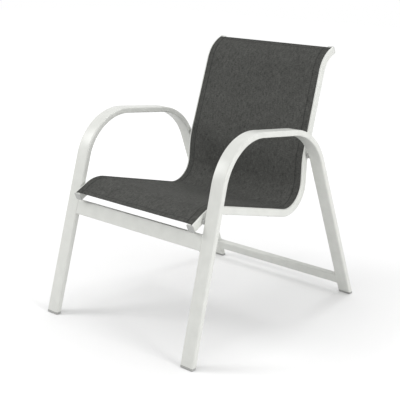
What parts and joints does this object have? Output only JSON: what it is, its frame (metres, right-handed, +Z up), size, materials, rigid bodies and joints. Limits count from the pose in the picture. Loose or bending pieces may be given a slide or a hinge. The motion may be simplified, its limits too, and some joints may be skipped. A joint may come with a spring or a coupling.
{
  "type": "sling patio chair",
  "caption": "Stacking armchair with bent tube side frames that form arms and legs, and a taut fabric sling stretched between two S-shaped rails for seat and back.",
  "frame": {"origin": "on the floor, at the middle of the chair's width and depth", "axes": "+Z up, -Y the way the sitter faces, +X towards the sitter's left hand"},
  "size_m": [0.6098, 0.8504, 0.8451],
  "materials": {
    "frame_powder_coat": "satin",
    "sling_fabric": "matte woven mesh",
    "clear_plastic": "matte",
    "white_plastic": "matte",
    "grey_plastic": "matte",
    "fastener_steel": "satin"
  },
  "bodies": {
    "root": {"back_spreader": "frame_powder_coat", "back_spreader_peg_left": "grey_plastic", "back_spreader_peg_right": "grey_plastic", "back_spreader_screw_left": "fastener_steel", "back_spreader_screw_right": "fastener_steel", "foot_glide_front_left": "grey_plastic", "foot_glide_front_right": "grey_plastic", "foot_glide_rear_left": "grey_plastic", "foot_glide_rear_right": "grey_plastic", "front_cross_rail": "frame_powder_coat", "rail_bolt_front_left": "fastener_steel", "rail_bolt_front_right": "fastener_steel", "rail_bolt_rear_left": "fastener_steel", "rail_bolt_rear_right": "fastener_steel", "rail_plug_front_left": "white_plastic", "rail_plug_front_right": "white_plastic", "rail_plug_top_left": "white_plastic", "rail_plug_top_right": "white_plastic", "rail_spacer_front_left": "white_plastic", "rail_spacer_front_right": "white_plastic", "rail_spacer_rear_left": "white_plastic", "rail_spacer_rear_right": "white_plastic", "rail_washer_front_left": "fastener_steel", "rail_washer_front_right": "fastener_steel", "rail_washer_rear_left": "fastener_steel", "rail_washer_rear_right": "fastener_steel", "rear_cross_rail": "frame_powder_coat", "rivet_nut_front_left": "fastener_steel", "rivet_nut_front_right": "fastener_steel", "rivet_nut_rear_left": "fastener_steel", "rivet_nut_rear_right": "fastener_steel", "seat_spreader_front": "frame_powder_coat", "seat_spreader_front_peg_left": "grey_plastic", "seat_spreader_front_peg_right": "grey_plastic", "seat_spreader_front_screw_left": "fastener_steel", "seat_spreader_front_screw_right": "fastener_steel", "seat_spreader_rear": "frame_powder_coat", "seat_spreader_rear_peg_left": "grey_plastic", "seat_spreader_rear_peg_right": "grey_plastic", "seat_spreader_rear_screw_left": "fastener_steel", "seat_spreader_rear_screw_right": "fastener_steel", "side_frame_left": "frame_powder_coat", "side_frame_right": "frame_powder_coat", "sling": "sling_fabric", "sling_rail_left": "frame_powder_coat", "sling_rail_right": "frame_powder_coat", "sling_spline_left": "clear_plastic", "sling_spline_right": "clear_plastic"}
  },
  "joints": []
}
